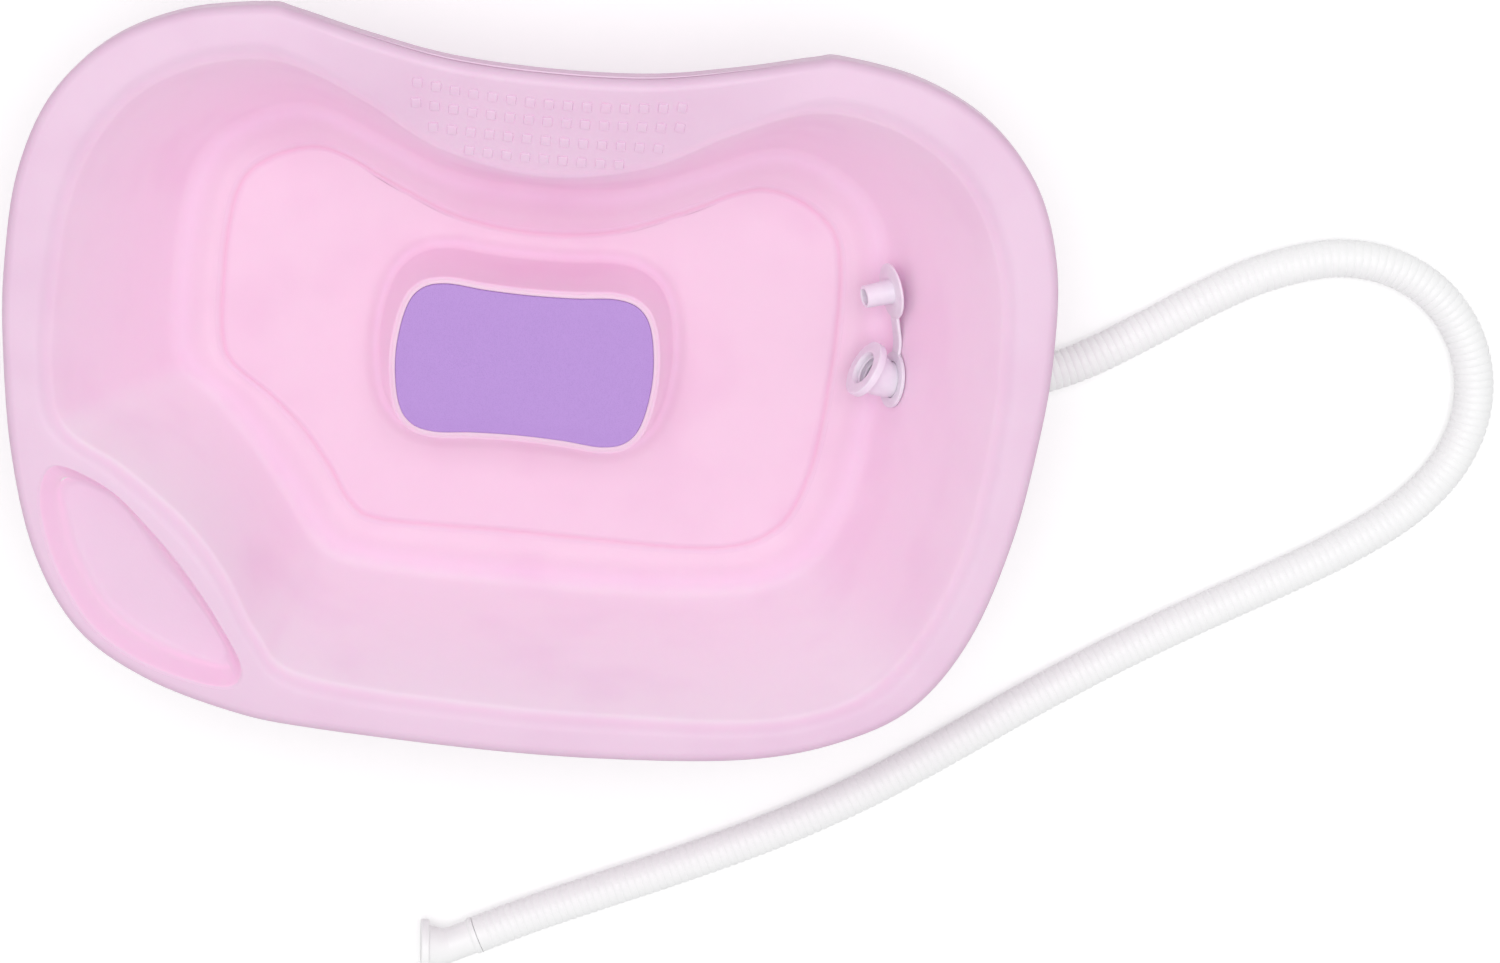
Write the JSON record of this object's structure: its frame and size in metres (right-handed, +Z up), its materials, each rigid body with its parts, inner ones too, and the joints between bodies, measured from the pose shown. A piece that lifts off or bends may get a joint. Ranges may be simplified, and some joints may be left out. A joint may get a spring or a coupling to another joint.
{
  "type": "portable shampoo basin",
  "caption": "Hair-washing basin with a neck rest, a padded head block, a corner tray, a ribbed drain hose and a stopper on a strap.",
  "frame": {"origin": "middle of the basin's underside, on the surface it stands on", "axes": "+X along the basin towards the drain, +Y towards the neck rest, +Z up"},
  "size_m": [0.8846, 0.6051, 0.1799],
  "materials": {
    "pink_plastic": "satin",
    "purple_foam": "matte",
    "milky_soft_plastic": "frosted",
    "white_hose_plastic": "satin"
  },
  "bodies": {
    "basin": {"basin_shell": "pink_plastic", "headrest_pad": "purple_foam", "drain_grommet": "milky_soft_plastic", "hose_inlet": "milky_soft_plastic", "drain_hose": "white_hose_plastic", "hose_outlet": "white_hose_plastic"},
    "strap": {"stopper_strap": "milky_soft_plastic"},
    "stopper": {"stopper_cap": "milky_soft_plastic"}
  },
  "joints": [
    {"name": "strap_fold_at_ring", "type": "hinge", "parent": "basin", "child": "strap", "pos_m": [0.22117, 0.0329, 0.03823], "axis": [0.2931, -0.0088, 0.956], "range_deg": [0, 71], "stiffness_Nm_per_rad": 0.002},
    {"name": "strap_fold_at_stopper", "type": "hinge", "parent": "strap", "child": "stopper", "pos_m": [0.21828, 0.04481, 0.03923], "axis": [0.2931, -0.0088, 0.956], "range_deg": [0, 71], "stiffness_Nm_per_rad": 0.002}
  ],
  "couplings": [
    {"joint": "strap_fold_at_stopper", "follows": "strap_fold_at_ring", "ratio": 1}
  ]
}
